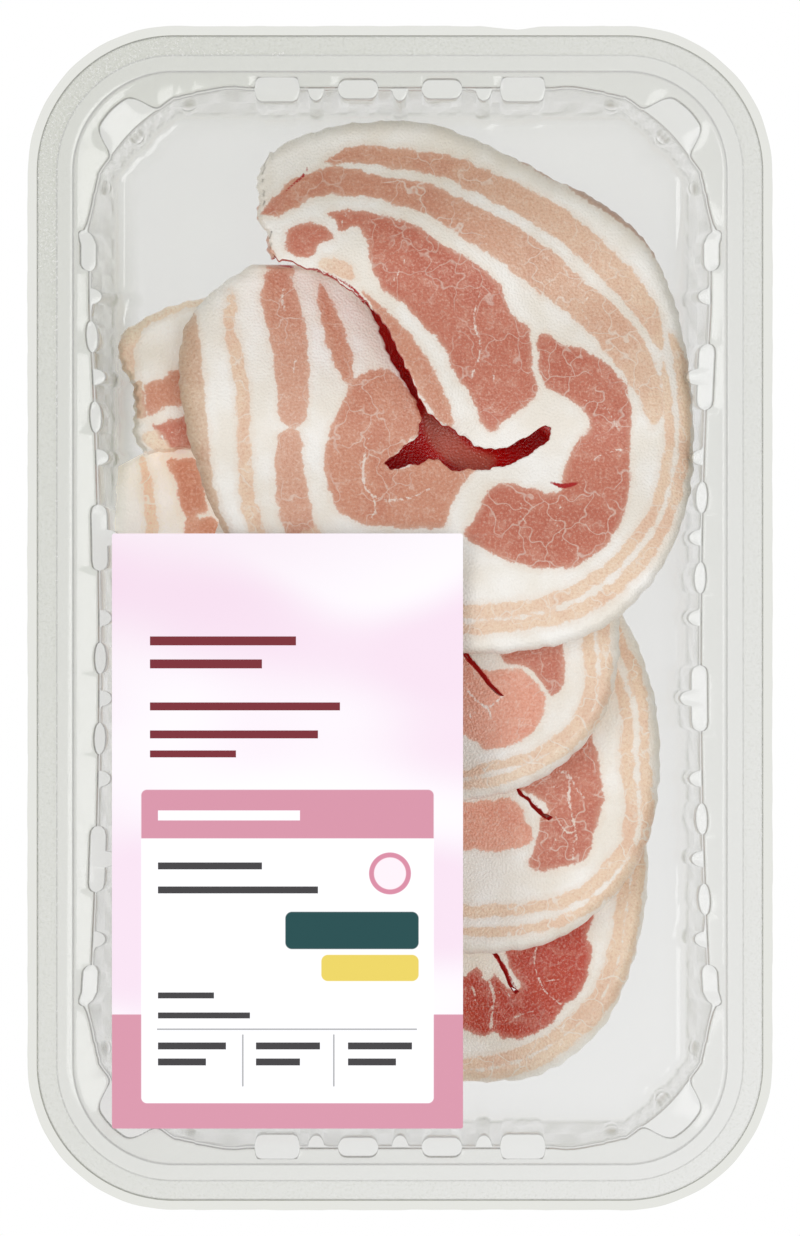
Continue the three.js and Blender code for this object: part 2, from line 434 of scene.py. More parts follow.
def rimStations():
    # every column of the tray: (side or None in a corner, place along it, origin, way in, corner angle in degrees)
    halfX, halfY, r = tray["width"] / 2, tray["length"] / 2, tray["cornerRadius"]
    sides = (("right", (halfX, 0), (0, 1), halfY - r), ("far", (0, halfY), (-1, 0), halfX - r),
             ("left", (-halfX, 0), (0, -1), halfY - r), ("near", (0, -halfY), (1, 0), halfX - r))
    features = [(side, place, pocket["half"]) for side, place, pocket in sidePockets()]
    features += [(side, place, tray["fluteHalfLength"]) for side, place in sideFlutes() + lowDomes()]
    stations = []
    for number, (side, middle, along, reach) in enumerate(sides):
        sign = along[0] + along[1]
        marks = set(np.round(np.linspace(-reach, reach, int(reach)), 3))
        for owner, place, half in features:
            if owner == side:
                spread = np.sin(np.linspace(-math.pi / 2, math.pi / 2, 13)) * (half + 0.02)
                marks |= set(np.round(place * sign + spread, 3))
        kept = [-reach]
        for mark in sorted(marks):
            if mark - kept[-1] > tray["columnGap"] and mark < reach - 0.05:
                kept.append(mark)
        for mark in kept:
            origin = (middle[0] + along[0] * mark, middle[1] + along[1] * mark)
            stations.append((side, mark * sign, origin, (-along[1], along[0]), 0.0))
        centre = (middle[0] + along[0] * reach - along[1] * r, middle[1] + along[1] * reach + along[0] * r)
        for angle in tray["cornerSteps"]:
            turn = math.radians(90 * number + angle)
            out = (math.cos(turn), math.sin(turn))
            stations.append((None, 0.0, (centre[0] + out[0] * r, centre[1] + out[1] * r), (-out[0], -out[1]), angle))
    return stations


def rimRuns(stations):
    # where every column starts on the rim, its way in, and the run along the rim to it
    origins = np.array([station[2] for station in stations])
    ways = np.array([station[3] for station in stations])
    return origins, ways, np.cumsum(np.linalg.norm(np.diff(origins, axis=0, append=origins[:1]), axis=1))


def ringAt(origins, ways, inset, z):
    # the rim moved inwards by inset, at height z
    same = np.ones(len(origins))
    return np.column_stack([origins + ways * (inset * same)[:, None], same * z])


def bulge(offset, half):
    # 1 in a round feature's middle, down to 0 at its ends as a circle does
    return math.sqrt(max(0, 1 - (offset / half) ** 2))


def trayLines(stations):
    # the insets of ledge edge, shelf edge, upper wall and foot at every station, and where flutes and domes are
    pockets, flutes, lows = sidePockets(), sideFlutes(), lowDomes()
    ledge, shelf, high, foot, fluted, domed, nearCorner = [], [], [], [], [], [], []
    for side, place, origin, way, angle in stations:
        if side:
            reach = tray["length"] / 2 if side in ("left", "right") else tray["width"] / 2
            fromCorner = reach - tray["cornerRadius"] - abs(place)
            inset = tray["ledgeInset"] + np.interp(fromCorner, *cornerEase)
            if side in ("left", "right"):
                inset += tray["longSideBow"] * max(0, 1 - ((place - tray["bowMiddle"]) / tray["bowReach"]) ** 2)
            shelfInset = inset + tray["shelfGap"]
            for owner, middle, pocket in pockets:
                if owner == side and abs(place - middle) < pocket["half"]:
                    share = float(roundedShare(place - middle, pocket["half"], pocket["end"]))
                    bow = inset - tray["ledgeInset"]
                    shelfInset = max(shelfInset, shelfInset + (pocket["in"] + bow - shelfInset) * share)
                    inset += (pocket["out"] + bow - inset) * share
            flute = max([bulge(place - at, tray["fluteHalfLength"]) for owner, at in flutes if owner == side])
            dome = max([bulge(place - at, tray["domeHalfLength"]) for owner, at in lows if owner == side])
            corner = 0.0
            nearCorner.append(fromCorner < 14)
        else:
            turned = abs(angle - 45)
            corner = math.sin(math.radians(2 * angle)) ** 2
            flute, seatTurn = 0.0, tray["seatHalfTurn"]
            inset = np.interp(turned, *cornerSeat)
            # the seat's inner edge runs nearly straight across the corner
            bowed = tray["seatDepth"] - tray["seatBow"] * (turned / seatTurn) ** 2
            straight = tray["cornerRadius"] - bowed / math.cos(math.radians(turned))
            shelfInset = max(inset + tray["shelfGap"], straight if turned < seatTurn else 0)
            across = tray["cornerRadius"] - shelfInset - 2
            dome = bulge(math.radians(turned) * across, tray["domeHalfLength"])
            nearCorner.append(True)
        depth = tray["fluteDepth"] * flute
        ledge.append(inset)
        shelf.append(shelfInset + depth)
        high.append(shelfInset + 0.5 + 0.85 * depth)
        foot.append(max(tray["footInset"] + 3.4 * corner, shelfInset + 1.5) + 0.35 * depth)
        fluted.append(flute)
        domed.append(dome)
    ledge, shelf, high, foot, fluted, domed = [np.array(line) for line in (ledge, shelf, high, foot, fluted, domed)]
    for line in (ledge, shelf, high, foot):
        for _ in range(tray["easeSoftening"]):
            soft = (np.roll(line, 1) + 2 * line + np.roll(line, -1)) / 4
            line[nearCorner] = soft[nearCorner]
    return ledge, shelf, high, foot, fluted, domed


# The clear sheet's greys, and how much each part of the tray's section holds back of what lies behind it.
trayGreys = {
    "line": tint(84, 86, 62),
    "sheet": tint(146, 150, 112),
    "wall": tint(114, 114, 54),
    "base": tint(170, 172, 146),
}


def makeTray(materials):
    stations = rimStations()
    ledgeLine, shelfLine, highLine, footLine, fluted, domed = trayLines(stations)
    h, sheet, flange = tray["height"], tray["sheet"], tray["flangeWidth"]
    ledgeZ = h - tray["ledgeDrop"]
    shelfZ = ledgeZ - tray["shelfDrop"]
    fillet = tray["footFillet"]
    origins, ways, run = rimRuns(stations)
    same = np.ones(len(stations))
    sealIn, sealOut = tray["sealBand"]
    middleZ = (shelfZ + sheet + fillet) / 2
    domeLine = (highLine + footLine) / 2 + 0.9 * domed
    # each ring: inset, height, how much it holds back, grey; the rings on steep walls and at sharp bends hold back
    # more and take the darker greys, painted shade for the dark look of a clear sheet seen edge-on
    topSide = [
        (0, h - tray["lipDrop"], 0.42, "line"), (0, h - 0.3, 0.5, "line"), (0.08, h - 0.08, 0.55, "line"),
        (0.3, h, 0.5, "line"), (sealIn, h, 0.34, "sheet"), (1.5, h, 0.34, "sheet"), (2.7, h, 0.34, "sheet"),
        (sealOut, h, 0.36, "sheet"), (sealOut + 0.25, h, 0.42, "line"), (sealOut + 0.5, h, 0.32, "sheet"),
        (flange - 0.3, h, 0.32, "sheet"), (flange - 0.08, h - 0.08, 0.46, "line"), (flange, h - 0.3, 0.5, "line"),
        (flange + 0.3, ledgeZ + 0.45, 0.36, "sheet"), (flange + 0.5, ledgeZ + 0.28, 0.36, "sheet"),
        (flange + 0.9, ledgeZ + 0.18, 0.37, "sheet"),
        (ledgeLine - 0.5, ledgeZ - 0.1, 0.36, "sheet"), (ledgeLine - 0.1, ledgeZ - 0.22, 0.42, "sheet"),
        (ledgeLine, ledgeZ - 0.4, 0.7, "line"), (ledgeLine + 0.2, shelfZ + 0.3, 0.6, "line"),
        (ledgeLine + 0.3, shelfZ + 0.08, 0.3, "sheet"), (ledgeLine + 0.4, shelfZ, 0.26, "sheet"),
        (shelfLine - 0.25, shelfZ - 0.02, 0.28, "sheet"), (shelfLine, shelfZ - 0.14, 0.6, "line"),
        (shelfLine + 0.12, shelfZ - 0.6, 0.55, "line"), (shelfLine + 0.3, shelfZ - 1.2, 0.5, "wall"),
        (highLine, shelfZ - 3, 0.5, "wall"),
        ((highLine + footLine) / 2, middleZ, 0.46, "wall"),
        # painted highlight and shade on the low domes: the sheet holds back less at their middles, which look bright,
        # and more on their inner arcs, which look dark
        (domeLine - 0.14 * domed, middleZ - 0.4, 0.46 - 0.3 * domed, "wall"),
        (domeLine, middleZ - 0.7, 0.46 - 0.2 * domed, "wall"),
        (domeLine + 0.14 * domed, middleZ - 1.2, 0.46 + 0.2 * domed, "wall"),
        (domeLine + 0.3 * domed, middleZ - 1.6, 0.46, "wall"),
        (footLine, sheet + fillet, 0.42, "wall"), (footLine + 0.25, sheet + 0.55 * fillet, 0.38, "wall"),
        (footLine + 0.9, sheet + 0.3 * fillet, 0.33, "base"),
        (footLine + 0.55 * fillet, sheet + 0.08 * fillet, 0.3, "base"),
        (footLine + fillet, sheet, 0.27, "base"), (footLine + fillet + 3, sheet, 0.24, "base"),
    ]
    underside = [
        (footLine + fillet, 0.0), (footLine + 0.5 * fillet, 0.08), (footLine + 0.1 * fillet, 0.25 * fillet),
        (footLine - sheet, sheet + fillet), (highLine - sheet, shelfZ - 3),
        (shelfLine - sheet, shelfZ - 0.6 - sheet), (ledgeLine + 0.2 - sheet, shelfZ - sheet),
        (ledgeLine - sheet, ledgeZ - sheet), (flange + 0.4 - sheet, ledgeZ - sheet),
        (flange - sheet, h - sheet), (sheet, h - sheet), (sheet, h - tray["lipDrop"]),
    ]
    rings = [ringAt(origins, ways, inset, z) for inset, z in underside]
    shades = [np.tile((*trayGreys["base"], 0.1), (len(stations), 1)) for _ in underside]
    deepest = -same
    for inset, z, heldBack, grey in topSide:
        deepest = np.maximum(inset * same, deepest + 0.015)  # the section never folds back
        rings.append(ringAt(origins, ways, deepest, z))
        shade = np.tile((*trayGreys[grey], 0.0), (len(stations), 1))
        shade[:, 3] = heldBack
        x, y = rings[-1][:, 0], rings[-1][:, 1]
        if grey == "wall":
            # painted shade along the flutes and painted mottled reflections on the walls
            shade[:, 3] += 0.14 * fluted + 0.05 * (np.sin(run * 0.9 + z) + np.sin(run * 2.3 - 2 * z))
        if grey in ("wall", "base"):
            # darker on the far left, around y = 42 mm
            shade[:, 3] += 0.2 * np.exp(-((y - 42) / 30) ** 2) * (x < -54)
        # painted light: the sheet holds back less towards the right and near side, where more light falls, so it
        # looks lighter there
        if grey == "sheet":
            shade[:, 3] *= 0.84 + 0.0016 * y - 0.0024 * x
        elif grey == "base":
            shade[:, 3] *= 1 - 0.0012 * (x - y) - 0.0018 * np.maximum(x - y, 0)
        else:
            shade[:, 3] *= 1.02 - 0.0012 * x
        shades.append(shade)
    below = len(underside)
    firstSeal, lastSeal = tray["weldRows"]

    def partOf(row, corners):
        # 0 clear sheet, 1 weld band, 2 underside
        return 2 if row < below - 0.6 else int(below + firstSeal < row < below + lastSeal)

    bm = tubeWithParts(rings, partOf, {"tray_shade": np.array(shades)})
    finishPiece(bm, "clear_tray", "tray", materials)


def clearTrayFinish():
    finish = Finish("clear_tray")
    return finish.surface({"Base Color": finish.attribute("tray_shade", "Color"), "Roughness": 0.09, "IOR": 2.3,
                           "Alpha": finish.attribute("tray_shade", "Alpha")})


def dimmingFinish(name, heldBack):
    # the far face of a clear sheet: it only holds back a little light
    return Finish(name).surface({"Base Color": (0, 0, 0), "Specular IOR Level": 0.0, "IOR": 1.0, "Alpha": heldBack})


def trayWeldFinish():
    # the knurled band that the film is welded to
    finish = Finish("clear_tray_weld")
    spots = finish.places()
    speck = finish.noise(spots, 1.9, 1.0, 0.7)
    dark = 1 - finish.rise(speck, 0.34, 0.42)
    light = finish.rise(speck, 0.6, 0.68)
    base = finish.mix(light * 0.45, finish.attribute("tray_shade", "Color"), tint(240, 241, 236))
    alpha = finish.attribute("tray_shade", "Alpha") + dark * 0.055 + light * 0.04
    return finish.surface({"Base Color": base, "Roughness": 0.2, "IOR": 1.8, "Alpha": alpha})


makeTray([clearTrayFinish(), trayWeldFinish(), dimmingFinish("clear_tray_underside", 0.05)])


film = {
    "thickness": 0.15,
    "underside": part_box("lid_film")[0][2] / metresPerMm,
    "overhang": 1.9,
    "raggedness": 0.1,
    "notch": ((16.0, 23.9, 28.0), (0.0, 0.8, 0.0)),
}


def makeFilm(materials):
    origins, ways, run = rimRuns(rimStations())
    wobble = sum(np.sin(run * pace + phase) for pace, phase in ((0.11, 0.5), (0.37, 2.1), (0.83, 4.0))) / 3
    cut = film["raggedness"] * (1 + wobble)
    cut += np.where(origins[:, 1] > 100, np.interp(origins[:, 0], *film["notch"]), 0)
    low, high = film["underside"], film["underside"] + film["thickness"]
    insets = (25, 10, film["overhang"] + 0.15, 0.6, 0)
    rings = []
    for inset, z in [(inset, low) for inset in insets] + [(inset, high) for inset in reversed(insets)]:
        outset = film["overhang"] - np.maximum(inset, cut + inset * 0.3)
        rings.append(ringAt(origins, ways, -outset, z))

    def partOf(row, corners):
        # 0 the film, 1 its cut edge, 2 its underside
        return 2 if row < 2.2 else int(row < 6.8 and corners < manySided)

    finishPiece(tubeWithParts(rings, partOf), "clear_film", "lid_film", materials, smooth=False)


filmEdge = Finish("clear_film_edge").surface({"Base Color": tint(150, 153, 120), "Roughness": 0.12, "IOR": 1.6,
                                              "Alpha": 0.17})
makeFilm([dimmingFinish("clear_film", 0.03), filmEdge, dimmingFinish("clear_film_underside", 0.03)])


label = {
    "thickness": 0.2,
    "cornerRound": 0.5,
    "panel": (142, 790, 433, 1102, 5),
    "headerFoot": 838,
    "bandTop": 1014,
    "ring": (390, 873, 21, 5),
    "tealBlock": (286, 912, 418, 948, 6),
    "yellowBlock": (322, 955, 418, 980, 6),
}
paperGloss = {"Roughness": 0.42, "Specular IOR Level": 0.3}


def printedBars():
    # plain bars in place of words: (left, top, right, height) on the drawing, and which ink
    bars = [(row, 1) for row in ((150, 636, 296, 9), (150, 659, 262, 9), (150, 702, 340, 8), (150, 730, 318, 8),
                                 (150, 750, 236, 7))]
    bars.append(((158, 810, 300, 10), 2))
    bars += [(row, 3) for row in ((158, 862, 262, 7), (158, 886, 318, 7), (158, 992, 214, 6), (158, 1012, 250, 6),
                                  (158, 1042, 226, 7), (158, 1058, 206, 7), (256, 1042, 320, 7), (256, 1058, 300, 7),
                                  (348, 1042, 412, 7), (348, 1058, 396, 7))]
    bars += [(row, 4) for row in ((157, 1028, 417, 1.6), (242, 1034, 243.6, 52), (333, 1034, 334.6, 52))]
    return bars


def cutBars(bm):
    # cuts the label along the bars' edges, so that each bar is faces with its own ink
    places = []
    for (left, top, right, height), ink in printedBars():
        places.append((fromDrawing(left, top), fromDrawing(right, top + height), ink))
    for axis in (0, 1):
        values = sorted({round(corner[axis], 4) for place in places for corner in place[:2]})
        for value in values:
            spot, way = [0.0, 0.0, 0.0], [0.0, 0.0, 0.0]
            spot[axis], way[axis] = value, 1.0
            bmesh.ops.bisect_plane(bm, geom=bm.verts[:] + bm.edges[:] + bm.faces[:], dist=1e-5,
                                   plane_co=spot, plane_no=way)
    topmost = max(vertex.co.z for vertex in bm.verts) - 0.01
    for face in bm.faces:
        middle = face.calc_center_median()
        if min(vertex.co.z for vertex in face.verts) > topmost:
            for (left, top), (right, bottom), ink in places:
                if left < middle.x < right and bottom < middle.y < top:
                    face.material_index = ink


def makeLabel(materials):
    low, high = [np.array(corner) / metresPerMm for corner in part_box("label")]
    bm = bmesh.new()
    bmesh.ops.create_cube(bm, size=1)
    size = high - low
    size[2] = label["thickness"]
    middle = (low + high) / 2
    middle[2] = high[2] - label["thickness"] / 2 - 0.05
    bmesh.ops.scale(bm, vec=size, verts=bm.verts)
    bmesh.ops.translate(bm, vec=middle, verts=bm.verts)
    upright = [edge for edge in bm.edges if abs(edge.verts[0].co.z - edge.verts[1].co.z) > 0.05]
    bmesh.ops.bevel(bm, geom=upright, offset=label["cornerRound"], segments=4, profile=0.5,
                    affect="EDGES", material=-1)
    cutBars(bm)
    finishPiece(bm, "paper_label", "label", materials, smooth=False)


def printedLabel():
    finish = Finish("printed_label")
    spots = finish.places()
    x, y = finish.parts(spots)
    px = x / drawing["mmPerUnit"] + drawing["middle"][0]
    py = drawing["middle"][1] - y / drawing["mmPerUnit"]

    def block(left, top, right, bottom, around, soft=0.6):
        # 1 inside a rounded rectangle on the drawing
        overX = (abs(px - (left + right) / 2) - ((right - left) / 2 - around)).atLeast(0.0)
        overY = (abs(py - (top + bottom) / 2) - ((bottom - top) / 2 - around)).atLeast(0.0)
        away = (overX * overX + overY * overY) ** 0.5
        return 1 - finish.rise(away, around - soft + 0.7, around + soft + 0.7)

    def disc(cx, cy, radius, soft=0.6):
        away = ((px - cx) ** 2 + (py - cy) ** 2) ** 0.5
        return 1 - finish.rise(away, radius - soft, radius + soft)

    # soft field: pale pink with broad white sweeps, stronger pink towards the corner
    sweep = finish.noise(finish.stretched(spots, (0.6, 1.0, 1.0)), 0.022, 1.0)
    white = finish.rise(sweep, 0.42, 0.62)
    colour = finish.mix(white, tint(243, 222, 236), tint(249, 247, 249))
    corner = finish.rise((px - 112) * 0.5 + (py - 533), 260.0, 40.0)
    colour = finish.mix(corner * 0.4, colour, tint(236, 205, 224))
    pinkBand = finish.rise(py, label["bandTop"] - 0.5, label["bandTop"] + 0.5)
    colour = finish.mix(pinkBand, colour, tint(214, 147, 167))
    panel = block(*label["panel"])
    header = panel * (1 - finish.rise(py, label["headerFoot"] - 0.5, label["headerFoot"] + 0.5))
    cx, cy, radius, band = label["ring"]
    for place, shade in ((panel, tint(253, 252, 253)), (header, tint(212, 144, 164)),
                         (disc(cx, cy, radius), tint(214, 136, 160)),
                         (disc(cx, cy, radius - band), tint(250, 236, 242)),
                         (block(*label["tealBlock"]), tint(2, 68, 70)),
                         (block(*label["yellowBlock"]), tint(232, 208, 92))):
        colour = finish.mix(place, colour, shade)
    return finish.surface({"Base Color": colour, **paperGloss})


inks = {"ink_dark_red": tint(120, 30, 42), "ink_white": tint(252, 246, 249),
        "ink_black": tint(58, 56, 58), "ink_grey": tint(176, 176, 178)}
makeLabel([printedLabel()] + [Finish(name).surface({"Base Color": ink, **paperGloss}) for name, ink in inks.items()])


slices = {
    "thickness": 8.3,
    "restGap": 1.0,
    "sag": 0.75,
    "slitWidth": 0.12,
    "leanRound": 0.25,
    "drapeLength": 31.0,
    "base": 1.0,
    "stepsPerStation": 16,
    "endRound": 1.6,
    "acrossTop": 62,
    "acrossUnder": 24,
    "aroundSide": 10,
    "fatInset": 0.35,
    "leanInset": 0.1,
    "flatEnd": 0.15,
    "tearReach": 7,
    "endColumns": (0.05, 0.15, 0.35, 0.65, 1.1),
    "tuckStations": (3, 7),
    "slitPasses": 3,
    "slitSoftening": 4,
    "slitPull": 8,
    "slitFades": (14, 9),
    "facing": 0.7,
}

# Each station: fat side x, y and lean side x, y in mm, clockwise from the slice's upper end.
stationsOne = [
    (-29.2, 93.1, -28.2, 71.9), (-20.2, 97.7, -20, 70.7), (-8, 100.4, -9.6, 65.5), (6, 100.2, -3.2, 59.1),
    (20.5, 94.5, 1.2, 49.9), (32, 88.5, 5.6, 41.1), (41, 84, 11.6, 36.7), (48, 78, 18.5, 33.6), (53, 70.5, 25, 36.1),
    (57, 58, 29, 38.5), (59.2, 40, 30.4, 38.2), (58.2, 24, 28.2, 34.9), (52, 9, 22.8, 31.3), (41, -2, 16, 30.1),
    (26, -6.7, 11, 29.9), (9, -7.1, 6.8, 32.1), (-8, -4, 2, 30.9), (-22, 3.5, -2, 30.1), (-34, 14.5, -2.8, 31),
    (-40.5, 28.5, -2, 31.8), (-44, 42, 1, 34), (-44.8, 52, 4.4, 38), (-43, 60, 3.4, 43), (-38.5, 65.5, -1.3, 51.6),
    (-34, 69, -5.2, 60.4), (-30, 71.3, -10.4, 71.1),
]
stationsTwo = [
    (-57.6, 57.5, -53.4, 33.1), (-46, 63.5, -34, 34.5), (-28, 66.3, -20, 33.5), (-8, 66.5, -8, 28.5),
    (10, 59.5, 1, 19.5), (25, 45.5, 8.5, 8), (35, 31, 14.5, -2.5), (41, 14, 18.6, -10), (44.4, -4, 20.6, -14),
    (41.5, -19, 20.6, -15.6), (33, -29.5, 19.4, -15.4), (21, -35.5, 15.4, -11.5), (6, -37.4, 9.6, -5.6),
    (-8, -36.5, 3, 1), (-22, -31, -4, 9.5), (-33, -21, -10.5, 16.5), (-38.4, -4, -16, 22.5), (-38, 14, -20, 26),
    (-33.6, 28, -23, 28),
]
stationsThree = [
    (-33, 36.1, -32, 11.5), (-16, 37.9, -20, 8.5), (4, 33.5, -8, 2.5), (22, 24.5, 4, -6.5), (36, 12.5, 14, -16.5),
    (46, -1, 21, -26), (51.5, -16, 27, -34.6), (52.4, -34, 30.4, -39), (49, -48, 31, -40.4), (40, -59.5, 29.8, -41),
    (28, -66.3, 26, -38.4), (13, -68, 19.6, -32.4), (-2, -67.5, 12.5, -26), (-16, -65, 4, -19.5),
    (-30, -59.5, -5, -13.5), (-43, -50, -14, -7.5), (-53, -34, -23, -2.5), (-57.4, -12, -30, 3),
    (-58, 12, -35.6, 13.5), (-57.2, 30.5, -37.5, 41),
]
stationsFour = [
    (-39, -4.5, -35, -24.9), (-24, 3.5, -23, -25.5), (-4, 5.5, -11, -28.5), (16, 1.5, 0, -36.5),
    (32, -8.9, 7.5, -46.9), (44, -24, 13.4, -57.5), (50, -44, 19.8, -65.6), (48.8, -64, 23.9, -73.6),
    (41, -83, 24.4, -75.6), (28, -92.6, 23, -76), (14, -94, 19.2, -69.6), (0, -92.5, 13.6, -63.4),
    (-12, -88.5, 6.5, -57), (-24, -83, -1, -49), (-36, -74, -10, -41), (-44.5, -61, -19, -35), (-48, -42, -28, -31),
    (-45, -16, -37.4, -28.9),
]

muscleTints = {
    "deep": tint(194, 66, 38),
    "rose": tint(204, 124, 100),
    "pink": tint(214, 150, 122),
    "light": tint(236, 166, 140),
    "pale": tint(222, 170, 144),
    "tan": tint(241, 212, 183),
    "peach": tint(246, 226, 200),
    "wall": tint(222, 192, 164),
    "dry": tint(190, 152, 128),
    "blood": tint(148, 7, 6),
}

# Tissue on the drawing. A band is (first tint, last tint, strength of cell lines, [(x, y, half width), ...]),
# a block is (tint, cell lines, [(x, y), ...]), a seam is [(x, y), ...] with its half width first,
# and a slit is [(x, y, half width), ...].
tissueOne = {
    "bands": [
        ("pink", "tan", 0.8, [(325, 158, 2), (345, 151, 8.5), (371, 150, 10.5), (390, 153, 11), (422, 158, 12),
            (450, 163, 13), (470, 172, 14), (503, 187, 14.5), (524, 199, 15), (545, 209, 15.5), (570, 227, 15.5),
            (601, 254, 14.5), (628, 282, 14.5), (648, 308, 13), (659, 332, 8), (663, 347, 3)]),
        ("tan", "tan", 1.0, [(669, 330, 2), (680, 352, 7), (685, 385, 8), (686, 420, 7.5), (684, 455, 6.5),
            (678, 488, 6.5), (668, 520, 6.5), (650, 550, 7), (620, 584, 7.5), (585, 607, 8), (545, 620, 7.5),
            (500, 626, 7), (463, 628, 7), (400, 624, 7), (330, 600, 8), (275, 560, 9), (252, 515, 8.5), (246, 490, 8),
            (244, 440, 7.5), (241, 385, 7.5), (235, 352, 8), (230, 330, 6), (229, 305, 6.5), (228, 288, 3)]),
        ("rose", "pink", 0.4, [(262, 211, 4), (280, 201, 11), (300, 186, 15)]),
        ("pink", "pink", 0.5, [(262, 212, 3), (283, 201, 10), (305, 184, 14), (329, 177, 15), (352, 179, 15),
            (377, 183, 13)]),
        ("pink", "tan", 1.0, [(387, 186, 13), (405, 190, 15), (430, 197, 15.5), (455, 210, 17), (482, 226, 19),
            (505, 238, 19.5), (530, 257, 21), (552, 274, 21), (575, 293, 19), (600, 313, 20), (620, 337, 20),
            (638, 362, 18), (650, 388, 14), (656, 412, 9), (655, 423, 3)]),
        ("tan", "tan", 1.0, [(664, 360, 2), (668, 390, 5), (671, 430, 6), (668, 462, 6.5), (659, 500, 6.5),
            (643, 530, 6.5), (615, 562, 7), (580, 588, 7.5), (540, 604, 8), (500, 610, 8), (463, 611, 8),
            (400, 600, 8), (340, 572, 10), (300, 530, 15)]),
        ("pink", "pale", 0.7, [(276, 278, 14), (279, 300, 20), (287, 330, 19.5), (292, 376, 17.5), (292, 412, 15)]),
        ("pale", "pale", 0.7, [(289, 440, 14), (289, 470, 15.5), (293, 500, 17.5), (300, 530, 16)]),
        ("pink", "pink", 0.4, [(319, 280, 3), (324, 300, 7.5), (334, 330, 11), (342, 355, 11), (347, 374, 7)]),
        ("wall", "wall", 0.0, [(184, 318, 11), (188, 350, 13), (190, 400, 15), (194, 440, 15), (203, 485, 11),
            (218, 530, 10), (250, 572, 6), (290, 602, 3)]),
        ("dry", "dry", 0.0, [(520, 154, 2), (556, 172, 4), (590, 190, 7), (618, 206, 9), (645, 226, 9), (660, 248, 6),
            (672, 272, 3)]),
        ("pink", "pale", 0.2, [(255, 204, 4), (253, 217, 5), (256, 226, 4)]),
        ("pink", "pale", 0.3, [(263, 232, 4), (266, 247, 6), (272, 262, 7), (290, 270, 4)]),
        ("peach", "tan", 0.0, [(325, 262, 6), (338, 266, 10), (350, 274, 6)]),
    ],
    "blocks": [
        ("rose", 0.55, [(326, 210), (338, 207), (366, 208), (387, 213), (406, 219), (429, 231), (443, 241),
            (461, 252), (480, 262), (492, 275), (504, 285), (512, 310), (530, 326), (533, 350), (534, 370),
            (540, 391), (522, 409), (504, 422), (491, 432), (479, 417), (468, 391), (453, 371), (443, 346),
            (422, 325), (402, 302), (385, 291), (377, 280), (369, 259), (367, 239), (357, 226), (338, 230),
            (333, 218)]),
        ("rose", 0.3, [(287, 227), (310, 219), (326, 222), (334, 236), (319, 244), (311, 257), (294, 255),
            (284, 246)]),
        ("rose", 0.7, [(538, 331), (553, 334), (570, 343), (588, 348), (611, 364), (629, 387), (634, 412), (632, 438),
            (632, 470), (629, 499), (616, 532), (598, 553), (569, 568), (529, 568), (501, 557), (478, 546),
            (464, 534), (478, 510), (488, 489), (502, 483), (530, 486), (556, 492), (565, 470), (575, 443),
            (590, 425), (583, 409), (568, 398), (547, 386), (540, 372), (537, 350)]),
        ("pink", 0.3, [(361, 290), (376, 298), (397, 318), (420, 343), (440, 379), (453, 412), (456, 427), (446, 428),
            (432, 412), (420, 393), (405, 368), (392, 345), (379, 316)]),
        ("pink", 0.7, [(361, 371), (389, 368), (407, 385), (428, 408), (432, 425), (412, 440), (388, 466), (400, 468),
            (433, 452), (456, 466), (478, 464), (464, 484), (450, 510), (445, 527), (402, 528), (361, 524),
            (336, 508), (325, 478), (325, 443), (341, 402)]),
    ],
    "seams": [
        (1.3, [(371, 433), (365, 452), (363, 475), (367, 490), (384, 499), (410, 497), (430, 488)]),
        (1.0, [(372, 496), (376, 506), (372, 517)]),
        (1.0, [(480, 291), (474, 318), (481, 345), (471, 379)]),
        (0.7, [(481, 345), (496, 362), (493, 380)]),
        (0.8, [(404, 258), (398, 272), (389, 284)]),
        (0.9, [(338, 232), (345, 212), (352, 206)]),
        (0.8, [(565, 497), (556, 520), (563, 541)]),
        (0.7, [(585, 470), (600, 455), (631, 446)]),
        (0.7, [(583, 398), (605, 405), (620, 430)]),
        (0.8, [(595, 290), (583, 303), (588, 318)]),
        (0.8, [(546, 268), (552, 286), (543, 296)]),
        (0.8, [(492, 213), (484, 230), (488, 246)]),
        (1.0, [(294, 337), (295, 355), (292, 376)]),
        (1.2, [(284, 284), (281, 296), (285, 310)]),
        (0.8, [(528, 485), (520, 510), (530, 530)]),
    ],
    "slits": [
        [(281, 191, 0.4), (292, 181, 1.1), (302, 172, 1.4), (307, 163, 0.6)],
        [(550, 481, 0.6), (562, 485, 2.4), (572, 484, 2.2), (580, 481, 0.6)],
        [(271, 259, 1), (282, 262, 1.8), (292, 264, 1)],
        [(302, 264, 0.3), (320, 269, 0.9), (352, 286, 1.2), (364, 300, 1.5)],
    ],
    "wetWalls": [
        [(366, 308), (600, 308), (600, 500), (376, 500)],
    ],
}
